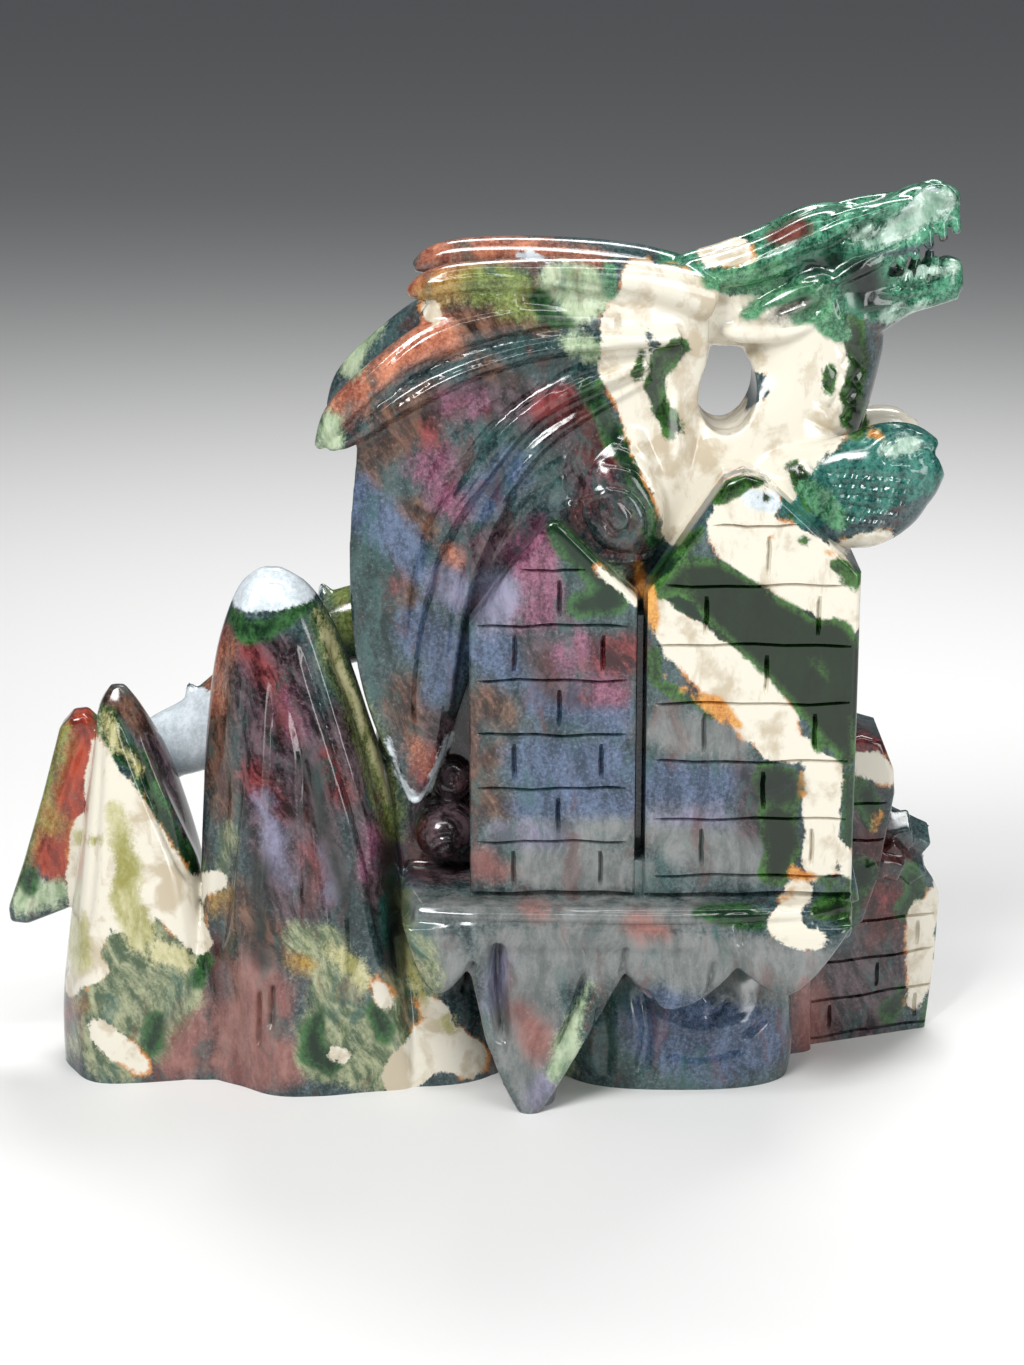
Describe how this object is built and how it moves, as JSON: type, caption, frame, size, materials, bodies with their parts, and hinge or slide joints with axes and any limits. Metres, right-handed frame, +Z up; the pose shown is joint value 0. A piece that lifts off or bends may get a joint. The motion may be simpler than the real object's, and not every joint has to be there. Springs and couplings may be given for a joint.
{
  "type": "carved stone dragon and castle ornament",
  "caption": "Polished jasper carving of a winged dragon perched behind a gabled brick castle, with rock peaks at its tail.",
  "frame": {"origin": "middle of the length and the depth, on the flat underside", "axes": "+Z up, +X along the length towards the dragon's head, castle front towards -Y"},
  "size_m": [0.3146, 0.103, 0.2919],
  "materials": {
    "jasper": "high polish, translucent, banded green, white, red-brown and blue-grey"
  },
  "bodies": {
    "root": {"dragon_castle_carving": "jasper"}
  },
  "joints": []
}
